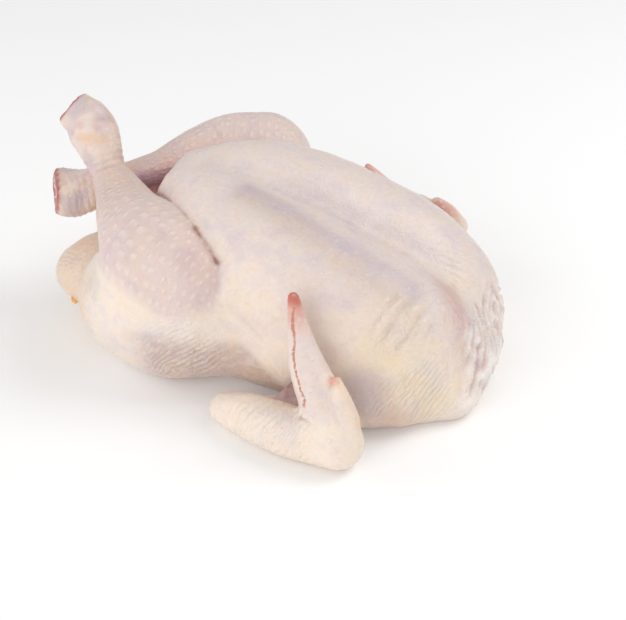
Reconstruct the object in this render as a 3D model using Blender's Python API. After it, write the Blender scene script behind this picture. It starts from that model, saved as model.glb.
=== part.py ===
"""A whole plucked chicken lying on its back, breast up, with its legs crossed.

Metres, +Z up. +X points to the neck end and -X to the tail, and the bird's midline lies along X.
The near side is -Y and the far side is +Y. The bird rests on Z = 0.

Each muscle is a chain of balls: the hulls of neighbouring balls are fused into one rough body, and
that body is then relaxed onto a skin that blends the muscles softly where real skin spans them and
leaves a crease where two parts only touch.
"""

from typing import NamedTuple

import bmesh
import bpy
import numpy as np
from mathutils import Matrix, Vector

MM = 0.001  # every length below is in millimetres, and the finished mesh is scaled to metres
NODE = "chicken"

# How the solid is meshed
ROUGH_VOXEL = 2.2
SKIN_PASSES = 7
SKIN_STEP_LIMIT = 2.5
TRIANGLES = 11300
SKIN_COLOUR = (0.80, 0.66, 0.56, 1.0)
SKIN_ROUGHNESS = 0.42

# Softness of the blends between parts
KEEL_BLEND = 6.0
TORSO_BLEND = 13.0
NECK_BLEND = 8.0
WING_BLEND = 6.0
SHANK_BLEND = 3.0
CREASE_BLEND = 1.5
VENT_BLEND = 4.0

# Relief on the skin: a fold down each flank, the near knee's crease, and pleats round the neck
FOLD_WIDTH = 3.5
FOLD_DEPTH = 2.6
CREASE_WIDTH = 3.0
CREASE_DEPTH = 2.2
PLEAT_PITCH = 9.5
PLEAT_DEPTH = 0.7
PLEATS_START = 48.0
PLEATS_FULL = 80.0


class Muscle(NamedTuple):
    """A chain of balls along a smooth line, squashed along one direction.

    balls: (x, y, z, radius) of each ball, in mm.
    squash: the direction in which it is flattened, and how thick it stays there, 1 being round.
    """

    balls: tuple
    squash: tuple = ((0.0, 0.0, 1.0), 1.0)


def mirrored(muscle):
    """The same muscle on the other side of the midline."""
    direction, ratio = muscle.squash
    balls = tuple((x, -y, z, r) for x, y, z, r in muscle.balls)
    return Muscle(balls, ((direction[0], -direction[1], direction[2]), ratio))


# The breast: one lobe each side of the keel, full at the front and narrow at the rear
BREAST_LOBE = Muscle(
    (
        (-76, 10, 84, 20),
        (-58, 19, 76, 30),
        (-38, 26, 66, 37),
        (-14, 29, 57, 40),
        (10, 30, 50, 38),
        (30, 30, 44, 36),
        (48, 28, 38, 31),
        (60, 24, 32, 27),
        (66, 19, 26, 18.5),
    )
)
RIB_CAGE = Muscle(
    (
        (-92, 0, 27, 26),
        (-60, 0, 34, 35),
        (0, 0, 33, 35),
        (45, 0, 28, 31),
        (66, 0, 21, 22.5),
    ),
    ((0, 1, 0), 1.7),
)
NECK_SKIN = Muscle(
    ((69, -45, 12, 14), (79, -38, 12, 14), (83, -20, 20, 13), (82, 0, 18, 13), (74, 30, 16, 13))
)
RUMP = Muscle(((-70, 0, 33, 35), (-98, 0, 28, 30), (-116, -2, 26, 22)), ((0, 1, 0), 1.35))
TAIL = Muscle(((-118, -3, 26, 22), (-136, -4, 27, 20), (-148, -5, 26, 14)), ((0, 1, 0), 1.35))
NEAR_THIGH = Muscle(
    ((-96, -36, 35, 35.5), (-76, -44, 35, 35.5), (-57, -50, 42, 28), (-55, -53, 48, 24))
)
FAR_THIGH = Muscle(((-96, 36, 35, 35.5), (-76, 45, 38, 35), (-59, 53, 52, 29), (-57, 58, 63, 25)))
FLANK = Muscle(((-55, 40, 29, 23), (-20, 43, 29, 26), (25, 45, 28, 29)))

FLANK_FOLD = (
    (-48, 62, 76, 0),
    (-40, 64, 68, 0),
    (-33, 67, 57, 0),
    (-23, 70, 45, 0),
    (-10, 72, 32, 0),
    (4, 72, 20, 0),
)

# The crease that runs on from the near drumstick, past its knee
KNEE_CREASE = (
    (-77, -32.5, 96, 0),
    (-68.5, -39.5, 94.5, 0),
    (-60, -47.5, 91.5, 0),
    (-53.5, -53, 87, 0),
    (-48.5, -56.5, 84, 0),
    (-44, -59.5, 80.5, 0),
)

# The legs cross over the tail, the near one on top
NEAR_DRUMSTICK = Muscle(
    (
        (-62, -54, 66, 23),
        (-74, -51.5, 71, 24.5),
        (-86.5, -46.5, 76, 24.5),
        (-100, -35.5, 79.5, 20),
        (-114, -19, 85, 14),
        (-125, -9, 93, 10),
        (-129.5, -5.8, 100.5, 10.8),
        (-135.5, -1, 111, 13.2),
        (-141, 2, 117.5, 12.2),
        (-150, 4, 124, 9),
    )
)
NEAR_CALF = Muscle(((-97, -46, 76, 16), (-92.6, -54.2, 66, 17), (-88, -58, 54, 17)))
FAR_DRUMSTICK = Muscle(
    (
        (-62, 66, 76, 25),
        (-80, 62, 76, 23.5),
        (-92, 55, 76, 19.5),
        (-101, 44, 79, 14),
        (-112, 31, 79, 9.5),
        (-123, 20, 77, 9),
        (-137, 12, 73, 10),
        (-153, 5, 69, 13.5),
        (-164, 1, 70, 12),
    )
)

# The near wing lies folded with its tip leaning on the breast, and the far wing mirrors it
UPPER_WING = Muscle(((50, -56, 18, 19), (14, -72, 9, 9.5), (-24, -84, 8, 8)))
FOREARM = Muscle(
    ((-31, -85.5, 8.5, 8.5), (-16, -91, 11, 11.5), (6, -99, 13, 13.5), (35, -102.2, 12.6, 12.8))
)
WING_TIP = Muscle(
    ((34.5, -102, 16.5, 12.2), (23.3, -95.3, 35, 11.3), (12, -86.5, 53, 8), (3.2, -75.8, 78, 2.8))
)
THUMB = Muscle(((39, -100.5, 28, 6.5), (35.5, -98, 40, 4), (32, -95.3, 48.5, 1.6)))
FAR_WING_TIP = Muscle(((35, 103, 17, 12.2), (26, 96, 35, 12), (12, 84, 52, 6.8), (-3, 77, 73, 2.6)))
FAR_THUMB = Muscle(((46, 101, 30, 6), (40, 97, 42, 4), (33.5, 93, 50, 2)))

# Where each foot was cut off, and the outward direction of the cut
NEAR_CUT = ((-150, 4, 124), (-0.82, 0.11, 0.55))
FAR_CUT = ((-164, 1, 70), (-0.85, -0.50, 0.12))
CUT_DISH_RADIUS = 13.0
CUT_DISH_DEPTH = 2.0

# The body cavity opens behind the keel, between the legs
VENT = Muscle(((-112, -3, 68, 11), (-92, -1, 58, 15), (-66, 0, 47, 14)), ((0, 1, 0), 1.35))

BREAST = (BREAST_LOBE, mirrored(BREAST_LOBE))
TRUNK = (RIB_CAGE, RUMP, TAIL, FLANK, mirrored(FLANK))
THIGHS = (NEAR_THIGH, FAR_THIGH, NEAR_CALF)
NEAR_WING = (UPPER_WING, FOREARM, WING_TIP, THUMB)
FAR_WING = (mirrored(UPPER_WING), mirrored(FOREARM), FAR_WING_TIP, FAR_THUMB)


def smooth_chain(balls, steps=4):
    """The chain with balls added between its own by a Catmull-Rom curve."""
    points = np.array(balls, float)
    padded = np.vstack([2 * points[0] - points[1], points, 2 * points[-1] - points[-2]])
    fine = []
    for i in range(1, len(padded) - 2):
        before, start, end, after = padded[i - 1 : i + 3]
        for t in np.arange(steps) / steps:
            fine.append(
                0.5
                * (
                    2 * start
                    + (end - before) * t
                    + (2 * before - 5 * start + 4 * end - after) * t**2
                    + (3 * start - before - 3 * end + after) * t**3
                )
            )
    fine.append(points[-1])
    return np.array(fine)


def stretched(points, muscle):
    """Points moved into the space where the squashed muscle is round."""
    direction = np.array(muscle.squash[0], float)
    direction /= np.linalg.norm(direction)
    centre = np.array(muscle.balls[0][:3], float)
    along = (points - centre) @ direction
    return points + np.outer(along * (1 / muscle.squash[1] - 1), direction)


def muscle_distance(points, muscle):
    """How far each point is outside the muscle, negative inside."""
    chain = smooth_chain(muscle.balls)
    centres = stretched(chain[:, :3], muscle)
    radii = chain[:, 3]
    points = stretched(points, muscle)
    nearest = np.full(len(points), np.inf)
    for i in range(len(centres) - 1):
        start, axis = centres[i], centres[i + 1] - centres[i]
        t = np.clip((points - start) @ axis / (axis @ axis), 0, 1)
        gap = np.linalg.norm(points - start - t[:, None] * axis, axis=1)
        nearest = np.minimum(nearest, gap - radii[i] - t * (radii[i + 1] - radii[i]))
    return nearest


def blended(a, b, softness):
    """The union of two distances, rounded over about that softness."""
    overlap = np.maximum(softness - np.abs(a - b), 0) / softness
    return np.minimum(a, b) - overlap**2 * softness / 4


def hollowed(body, hollow):
    """The body without the hollow, its mouth rounded over."""
    return -blended(-body, hollow, VENT_BLEND)


def group_distance(points, muscles, softness):
    """The blended union of several muscles."""
    total = muscle_distance(points, muscles[0])
    for muscle in muscles[1:]:
        total = blended(total, muscle_distance(points, muscle), softness)
    return total


def rise(value, low, high):
    """0 below low, 1 above high, and a smooth ramp between."""
    t = np.clip((value - low) / (high - low), 0, 1)
    return t * t * (3 - 2 * t)


def away_from(points, place, near, far):
    """0 within the near radius of a place, and 1 beyond the far one."""
    return rise(np.linalg.norm(points - np.array(place, float), axis=1), near, far)


def mix(a, b, share):
    """a where the share is 0, and b where it is 1."""
    return a + (b - a) * share


def cut_off(points, leg, cut):
    """The leg ended by a flat cut with a shallow dish in it."""
    place = np.array(cut[0], float)
    outward = np.array(cut[1], float)
    outward /= np.linalg.norm(outward)
    dish = place + (CUT_DISH_RADIUS - CUT_DISH_DEPTH) * outward
    leg = np.maximum(leg, (points - place) @ outward)
    return np.maximum(leg, CUT_DISH_RADIUS - np.linalg.norm(points - dish, axis=1))


def relief(points):
    """How far the skin sinks below the muscles, in mm."""
    x, y, z = points.T
    sink = np.zeros(len(points))
    for fold in (FLANK_FOLD, mirrored(Muscle(FLANK_FOLD)).balls):
        away = muscle_distance(points, Muscle(fold))
        sink += FOLD_DEPTH * np.exp(-((away / FOLD_WIDTH) ** 2))
    crease = muscle_distance(points, Muscle(KNEE_CREASE))
    sink += CREASE_DEPTH * np.exp(-((crease / CREASE_WIDTH) ** 2))
    waver = 2 * np.sin(y / 14) + 1.5 * np.sin(z / 9)
    pleat = np.sin(2 * np.pi * (x + waver) / PLEAT_PITCH)
    return sink + PLEAT_DEPTH * pleat * rise(x, PLEATS_START, PLEATS_FULL) * rise(z, 6, 16)


def skin_distance(points):
    """How far each point is outside the whole bird's skin."""
    trunk = group_distance(points, TRUNK + THIGHS, TORSO_BLEND)
    trunk = blended(trunk, muscle_distance(points, NECK_SKIN), NECK_BLEND)
    cavity = muscle_distance(points, VENT)
    trunk = hollowed(trunk, cavity)
    body = trunk
    softness = TORSO_BLEND
    for drumstick, cut in ((NEAR_DRUMSTICK, NEAR_CUT), (FAR_DRUMSTICK, FAR_CUT)):
        leg = cut_off(points, muscle_distance(points, drumstick), cut)
        knee = drumstick.balls[0][:3]
        beyond_knee = away_from(points, knee, 30, 50)
        body = blended(body, leg, mix(TORSO_BLEND, SHANK_BLEND, beyond_knee))
        on_leg = rise(trunk - leg, -2, 6) * away_from(points, knee, 12, 28)
        softness = mix(softness, CREASE_BLEND, on_leg)
    breast = hollowed(group_distance(points, BREAST, KEEL_BLEND), cavity)
    body = blended(body, breast, softness)
    for wing, shoulder in ((NEAR_WING, UPPER_WING), (FAR_WING, mirrored(UPPER_WING))):
        arm = group_distance(points, wing, WING_BLEND)
        beyond_shoulder = away_from(points, shoulder.balls[0][:3], 25, 45)
        body = blended(body, arm, mix(TORSO_BLEND, CREASE_BLEND, beyond_shoulder))
    return body + relief(points)


def slope_of(points, distance, step=0.3):
    """The direction in which the skin distance grows."""
    slope = np.empty_like(points)
    for axis in range(3):
        shift = np.zeros(3)
        shift[axis] = step
        slope[:, axis] = (skin_distance(points + shift) - distance) / step
    return slope


def add_hull(target, first, second):
    """Adds the convex hull of two balls to the target mesh."""
    hull = bmesh.new()
    for centre, radius in ((first[:3], first[3]), (second[:3], second[3])):
        place = Matrix.Translation(Vector(centre))
        bmesh.ops.create_icosphere(hull, subdivisions=2, radius=radius, matrix=place)
    made = bmesh.ops.convex_hull(hull, input=list(hull.verts))
    inside = [v for v in made["geom_interior"] if isinstance(v, bmesh.types.BMVert)]
    bmesh.ops.delete(hull, geom=inside, context="VERTS")
    mesh = bpy.data.meshes.new("hull")
    hull.to_mesh(mesh)
    hull.free()
    target.from_mesh(mesh)
    bpy.data.meshes.remove(mesh)


def fused(name, muscles):
    """One object that fuses the hulls of the muscles by a voxel remesh."""
    work = bmesh.new()
    for muscle in muscles:
        direction = Vector(muscle.squash[0]).normalized()
        centre = Vector(muscle.balls[0][:3])
        chain = smooth_chain(muscle.balls, 2)
        round_chain = np.column_stack([stretched(chain[:, :3], muscle), chain[:, 3]])
        part = bmesh.new()
        for first, second in zip(round_chain[:-1], round_chain[1:]):
            add_hull(part, first, second)
        bmesh.ops.translate(part, vec=-centre, verts=part.verts)
        squash = Matrix.Scale(muscle.squash[1], 4, direction)
        bmesh.ops.transform(part, matrix=squash, verts=part.verts)
        bmesh.ops.translate(part, vec=centre, verts=part.verts)
        mesh = bpy.data.meshes.new("muscle")
        part.to_mesh(mesh)
        part.free()
        work.from_mesh(mesh)
        bpy.data.meshes.remove(mesh)
    mesh = bpy.data.meshes.new(name)
    work.to_mesh(mesh)
    work.free()
    body = bpy.data.objects.new(name, mesh)
    bpy.context.scene.collection.objects.link(body)
    add_remesh(body)
    return body


def add_remesh(body):
    """Adds the voxel remesh that gives the rough body its even mesh."""
    remesh = body.modifiers.new("fuse", "REMESH")
    remesh.mode = "VOXEL"
    remesh.voxel_size = ROUGH_VOXEL


def rough_body():
    """The fused muscles with the body cavity cut out of them."""
    limbs = (NECK_SKIN, NEAR_DRUMSTICK, FAR_DRUMSTICK) + NEAR_WING + FAR_WING
    bird = fused(NODE, BREAST + TRUNK + THIGHS + limbs)
    cavity = fused("cavity", (VENT,))
    hollow = bird.modifiers.new("hollow", "BOOLEAN")
    hollow.operation = "DIFFERENCE"
    hollow.object = cavity
    add_remesh(bird)
    apply_modifiers(bird)
    bpy.data.objects.remove(cavity)
    return bird


def apply_modifiers(bird):
    """Replaces the object's mesh by what its modifiers make of it."""
    bpy.context.view_layer.update()
    graph = bpy.context.evaluated_depsgraph_get()
    mesh = bpy.data.meshes.new_from_object(bird.evaluated_get(graph))
    bird.modifiers.clear()
    old = bird.data
    bird.data = mesh
    bpy.data.meshes.remove(old)
    mesh.name = NODE


def points_of(mesh):
    """The mesh's vertices as an array."""
    flat = np.empty(len(mesh.vertices) * 3)
    mesh.vertices.foreach_get("co", flat)
    return flat.reshape(-1, 3)


def even_out(mesh, points, share=0.5):
    """Each point moved part of the way to the middle of its neighbours."""
    edges = np.array([edge.vertices[:] for edge in mesh.edges])
    total = np.zeros_like(points)
    np.add.at(total, edges[:, 0], points[edges[:, 1]])
    np.add.at(total, edges[:, 1], points[edges[:, 0]])
    count = np.bincount(edges.ravel(), minlength=len(points))[:, None]
    return points + share * (total / count - points)


def settle_on_skin(bird):
    """Slides the rough body's vertices onto the blended skin."""
    mesh = bird.data
    points = points_of(mesh)
    for turn in range(SKIN_PASSES):
        if turn < SKIN_PASSES - 2:
            points = even_out(mesh, points)
        distance = skin_distance(points)
        slope = slope_of(points, distance)
        steepness = np.maximum((slope**2).sum(axis=1, keepdims=True), 0.25)
        move = -distance[:, None] * slope / steepness
        length = np.linalg.norm(move, axis=1, keepdims=True)
        move *= np.minimum(1, SKIN_STEP_LIMIT / np.maximum(length, 1e-9))
        points = points + move
    mesh.vertices.foreach_set("co", points.ravel())
    mesh.update()


def thin_out(bird):
    """Keeps the triangles where the form needs them."""
    mesh = bird.data
    mesh.calc_loop_triangles()
    collapse = bird.modifiers.new("thin out", "DECIMATE")
    collapse.ratio = TRIANGLES / len(mesh.loop_triangles)
    collapse.use_collapse_triangulate = True
    apply_modifiers(bird)


def rest_flat(bird):
    """Cuts the underside off at Z = 0, where the bird's weight flattens it, and centres the bird."""
    work = bmesh.new()
    work.from_mesh(bird.data)
    everything = work.verts[:] + work.edges[:] + work.faces[:]
    bmesh.ops.bisect_plane(
        work, geom=everything, dist=1e-4, plane_co=(0, 0, 0), plane_no=(0, 0, 1), clear_inner=True
    )
    rim = [edge for edge in work.edges if edge.is_boundary]
    bmesh.ops.holes_fill(work, edges=rim, sides=0)
    bmesh.ops.triangulate(work, faces=work.faces[:])
    bmesh.ops.recalc_face_normals(work, faces=work.faces[:])
    places = np.array([vert.co for vert in work.verts])
    middle = (places.min(axis=0) + places.max(axis=0)) / 2
    bmesh.ops.translate(work, vec=(-middle[0], -middle[1], 0), verts=work.verts)
    work.to_mesh(bird.data)
    work.free()


def skin_material():
    """Pale, slightly moist chicken skin."""
    material = bpy.data.materials.new("chicken_skin")
    material.use_nodes = True
    shader = material.node_tree.nodes["Principled BSDF"]
    shader.inputs["Base Color"].default_value = SKIN_COLOUR
    shader.inputs["Roughness"].default_value = SKIN_ROUGHNESS
    return material


def main():
    """Builds the chicken."""
    for old in list(bpy.data.objects):
        bpy.data.objects.remove(old)
    bird = rough_body()
    settle_on_skin(bird)
    thin_out(bird)
    rest_flat(bird)
    bird.data.transform(Matrix.Scale(MM, 4))
    bird.data.materials.append(skin_material())
    bird.data.shade_smooth()


if __name__ == "__main__":
    main()
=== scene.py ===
"""The looks of a whole plucked chicken that lies on its back with its legs crossed.

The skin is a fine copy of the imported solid, settled on the same blended muscles, and then folded,
pleated and wrinkled. Lengths in the tables are in millimetres, in the bird's own frame, as in the
part's source: the row frame is SHIFT further along.
"""

import logging
import math
from dataclasses import dataclass, field
from enum import Enum

import bpy
import numpy as np
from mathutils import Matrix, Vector


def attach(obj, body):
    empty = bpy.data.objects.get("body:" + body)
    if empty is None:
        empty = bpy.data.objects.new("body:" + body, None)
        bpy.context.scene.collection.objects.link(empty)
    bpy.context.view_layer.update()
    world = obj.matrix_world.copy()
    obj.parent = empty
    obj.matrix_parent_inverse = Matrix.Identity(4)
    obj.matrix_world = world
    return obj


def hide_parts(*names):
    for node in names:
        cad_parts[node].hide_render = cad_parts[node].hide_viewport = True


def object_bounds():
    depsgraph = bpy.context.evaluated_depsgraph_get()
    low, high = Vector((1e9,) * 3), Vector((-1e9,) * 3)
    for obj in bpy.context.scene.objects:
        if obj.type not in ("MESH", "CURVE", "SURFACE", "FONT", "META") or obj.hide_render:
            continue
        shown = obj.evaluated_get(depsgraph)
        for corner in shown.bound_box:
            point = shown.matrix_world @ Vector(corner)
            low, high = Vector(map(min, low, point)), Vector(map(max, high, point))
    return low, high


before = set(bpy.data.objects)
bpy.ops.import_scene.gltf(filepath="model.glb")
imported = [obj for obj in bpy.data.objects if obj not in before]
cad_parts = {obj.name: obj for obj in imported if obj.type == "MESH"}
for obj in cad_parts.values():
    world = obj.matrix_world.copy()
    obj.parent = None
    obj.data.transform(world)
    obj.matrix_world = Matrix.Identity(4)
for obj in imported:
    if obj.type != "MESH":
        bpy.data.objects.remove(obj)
CAD_BOX = [list(corner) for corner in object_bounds()]

LOG = logging.getLogger("chicken")
MM = 0.001
SHIFT = np.array([36.86, -0.18, 0.0])  # from the bird's own frame to the row frame, in mm
BODY = "root"
NODE = "chicken"

Piece = bpy.types.Object
Socket = bpy.types.NodeSocket


class Softness(Enum):
    """How far two neighbouring parts of the bird blend into each other, in mm."""

    KEEL = 8.5
    TORSO = 13.0
    NECK = 8.0
    WING = 6.0
    SHANK = 3.0
    CREASE = 1.5
    VENT = 4.0


class Mark(Enum):
    """The values that the skin's vertices carry for its finish."""

    TINT = "tint"
    LIE = "lie"
    FOLLICLES = "follicles"
    SPECKS = "specks"
    WRINKLES = "wrinkles"
    RIPPLE = "ripple"
    RIPPLE_DEPTH = "ripple_depth"
    CRACK = "crack"
    # the distance from the knee crease, along which the finish draws painted shade
    CREASE = "crease"


LINE_REACH = 10  # the marks of the drawn lines count no distance beyond this, in mm


def rise(value: np.ndarray, low: float, high: float) -> np.ndarray:
    """0 below low, 1 above high, and a smooth ramp between.

    Args:
        value: The values to grade.
        low: Where the ramp starts.
        high: Where the ramp ends.

    Returns:
        The share of each value, from 0 to 1.
    """
    t = np.clip((value - low) / (high - low), 0, 1)
    return t * t * (3 - 2 * t)


def mix(a: np.ndarray, b: np.ndarray, share: np.ndarray) -> np.ndarray:
    """a where the share is 0, and b where it is 1."""
    return a + (b - a) * share


def blended(a: np.ndarray, b: np.ndarray, softness: np.ndarray) -> np.ndarray:
    """The union of two distances, rounded over about that softness."""
    overlap = np.maximum(softness - np.abs(a - b), 0) / softness
    return np.minimum(a, b) - overlap**2 * softness / 4


def away_from(points: np.ndarray, place: tuple, near: float, far: float) -> np.ndarray:
    """0 within the near radius of a place, and 1 beyond the far one."""
    return rise(np.linalg.norm(points - np.array(place, float), axis=1), near, far)


def close_to(points: np.ndarray, place: tuple, near: float, far: float) -> np.ndarray:
    """1 within the near radius of a place, and 0 beyond the far one."""
    return 1 - away_from(points, place, near, far)


def lattice_noise(points: np.ndarray, pitch: float, seed: int) -> np.ndarray:
    """Smooth noise over space, the same on each run.

    Args:
        points: Where to read it, in mm.
        pitch: The size of its lumps, in mm.
        seed: Which noise it is.

    Returns:
        A value from -1 to 1 at each point.
    """
    cell = np.floor(points / pitch)
    part = points / pitch - cell
    part = part * part * (3 - 2 * part)
    cell = cell.astype(np.int64)
    total = np.zeros(len(points))
    for corner in np.ndindex(2, 2, 2):
        step = np.array(corner)
        key = ((cell + step) * (73856093, 19349663, 83492791)).sum(axis=1) + seed * 6542989
        key = (key ^ (key >> 13)) * 1274126177 & 0xFFFFFFFF
        key = (key ^ (key >> 16)) & 0xFFFF
        total += (key / 32767.5 - 1) * np.where(step, part, 1 - part).prod(axis=1)
    return total


def line_distance(points: np.ndarray, line: tuple) -> np.ndarray:
    """How far each point is from a line.

    Args:
        points: The points, in mm.
        line: The line's own points, one after the other.

    Returns:
        The distances, in mm.
    """
    places = np.array(line, float)
    nearest = np.full(len(points), np.inf)
    for start, end in zip(places[:-1], places[1:]):
        axis = end - start
        t = np.clip((points - start) @ axis / (axis @ axis), 0, 1)
        nearest = np.minimum(nearest, np.linalg.norm(points - start - t[:, None] * axis, axis=1))
    return nearest


def stroke(points: np.ndarray, line: tuple, width: float) -> np.ndarray:
    """A soft stroke along a line: 1 on it, fading over the width."""
    return np.exp(-((line_distance(points, line) / width) ** 2))


def linear(colour: tuple) -> np.ndarray:
    """A screen colour, 0 to 255, as the linear values that a shader takes."""
    share = np.array(colour, float) / 255
    return np.where(share <= 0.04045, share / 12.92, ((share + 0.055) / 1.055) ** 2.4)


@dataclass(frozen=True)
class Muscle:
    """A chain of balls along a smooth line, squashed sideways.

    Attributes:
        REACH: How far out the distance to a muscle is worked out, in mm.
        balls: x, y, z and radius of each ball.
        width: How wide the chain is along Y, 1 being round.
    """

    REACH = 18.0

    balls: tuple
    width: float = 1.0

    def mirrored(self) -> "Muscle":
        """The same muscle on the other side of the midline."""
        return Muscle(tuple((x, -y, z, r) for x, y, z, r in self.balls), self.width)

    def chain(self, steps: int = 4) -> np.ndarray:
        """The balls, with more added between them by a Catmull-Rom curve.

        Args:
            steps: How many stretches each gap is divided into.

        Returns:
            One row of x, y, z and radius for each ball.
        """
        points = np.array(self.balls, float)
        padded = np.vstack([2 * points[0] - points[1], points, 2 * points[-1] - points[-2]])
        fine = []
        for i in range(1, len(padded) - 2):
            before, start, end, after = padded[i - 1 : i + 3]
            for t in np.arange(steps) / steps:
                curve = 2 * start + (end - before) * t
                curve = curve + (2 * before - 5 * start + 4 * end - after) * t**2
                curve = curve + (3 * start - before - 3 * end + after) * t**3
                fine.append(curve / 2)
        fine.append(points[-1])
        return np.array(fine)

    def distance(self, points: np.ndarray) -> np.ndarray:
        """How far each point is outside the muscle, negative inside.

        Args:
            points: Places in the bird's frame, in mm.

        Returns:
            The distances, with no more detail beyond REACH.
        """
        chain = self.chain()
        middle = self.balls[0][1]
        squeeze = np.array([1, 1 / self.width, 1])
        low = (chain[:, :3] - chain[:, 3:] / squeeze).min(axis=0) - self.REACH
        high = (chain[:, :3] + chain[:, 3:] / squeeze).max(axis=0) + self.REACH
        close = ((points > low) & (points < high)).all(axis=1)
        nearest = np.full(len(points), self.REACH)
        if not close.any():
            return nearest
        shift = np.array([0, middle, 0])
        near = (points[close] - shift) * squeeze
        centres = (chain[:, :3] - shift) * squeeze
        radii = chain[:, 3]
        best = np.full(len(near), self.REACH)
        for i in range(len(centres) - 1):
            axis = centres[i + 1] - centres[i]
            t = np.clip((near - centres[i]) @ axis / (axis @ axis), 0, 1)
            gap = np.linalg.norm(near - centres[i] - t[:, None] * axis, axis=1)
            best = np.minimum(best, gap - radii[i] - t * (radii[i + 1] - radii[i]))
        nearest[close] = best
        return nearest


LEG_RADIUS = 15.0  # a usual radius of a drumstick, which turns an angle round it into mm


def place_on(points: np.ndarray, muscle: Muscle) -> tuple:
    """Where each point lies on a muscle's surface.

    Args:
        points: Places near the muscle, in mm.
        muscle: The muscle.

    Returns:
        How far along the muscle, and how far round it from its top, both in mm.
    """
    chain = muscle.chain()
    best = np.full(len(points), np.inf)
    along, around = np.zeros(len(points)), np.zeros(len(points))
    run = 0.0
    back = -30.0  # the first stretch takes what lies behind it too
    for start, end in zip(chain[:-1], chain[1:]):
        length = np.linalg.norm(end[:3] - start[:3])
        direction = (end[:3] - start[:3]) / length
        top = np.array([0, 0, 1]) - direction[2] * direction
        top /= np.linalg.norm(top)
        side = np.cross(direction, top)
        t = np.clip((points - start[:3]) @ direction, back, length)
        back = 0.0
        arm = points - start[:3] - t[:, None] * direction
        gap = np.linalg.norm(arm, axis=1)
        closer = gap < best
        best = np.where(closer, gap, best)
        along = np.where(closer, run + t, along)
        around = np.where(closer, np.arctan2(arm @ side, arm @ top) * LEG_RADIUS, around)
        run += length
    return along, around


def group_distance(points: np.ndarray, muscles: tuple, softness: Softness) -> np.ndarray:
    """The blended union of several muscles.

    Args:
        points: Places in the bird's frame, in mm.
        muscles: The muscles.
        softness: How far they blend into each other.

    Returns:
        How far each point is outside them, negative inside.
    """
    total = muscles[0].distance(points)
    for muscle in muscles[1:]:
        total = blended(total, muscle.distance(points), softness.value)
    return total


@dataclass(frozen=True)
class Cut:
    """A flat cut through a leg with a shallow dish in it.

    Attributes:
        place: The middle of the cut.
        outward: Which way it faces.
        dish_radius: The radius of the ball that hollows it, in mm.
        dish_depth: How deep the hollow is, in mm.
    """

    place: tuple
    outward: tuple
    dish_radius: float = 13.0
    dish_depth: float = 2.0

    def direction(self) -> np.ndarray:
        """The unit vector that points out of the cut."""
        outward = np.array(self.outward, float)
        return outward / np.linalg.norm(outward)

    def applied(self, points: np.ndarray, leg: np.ndarray) -> np.ndarray:
        """Makes the cut in a leg.

        Args:
            points: Places in the bird's frame, in mm.
            leg: How far each is outside the leg.

        Returns:
            The leg's distance with the cut made in it.
        """
        place, outward = np.array(self.place, float), self.direction()
        dish = place + (self.dish_radius - self.dish_depth) * outward
        leg = np.maximum(leg, (points - place) @ outward)
        return np.maximum(leg, self.dish_radius - np.linalg.norm(points - dish, axis=1))

    def face_distance(self, points: np.ndarray) -> np.ndarray:
        """How far each point is behind the plane of the cut, in mm."""
        return -(points - np.array(self.place, float)) @ self.direction()


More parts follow.
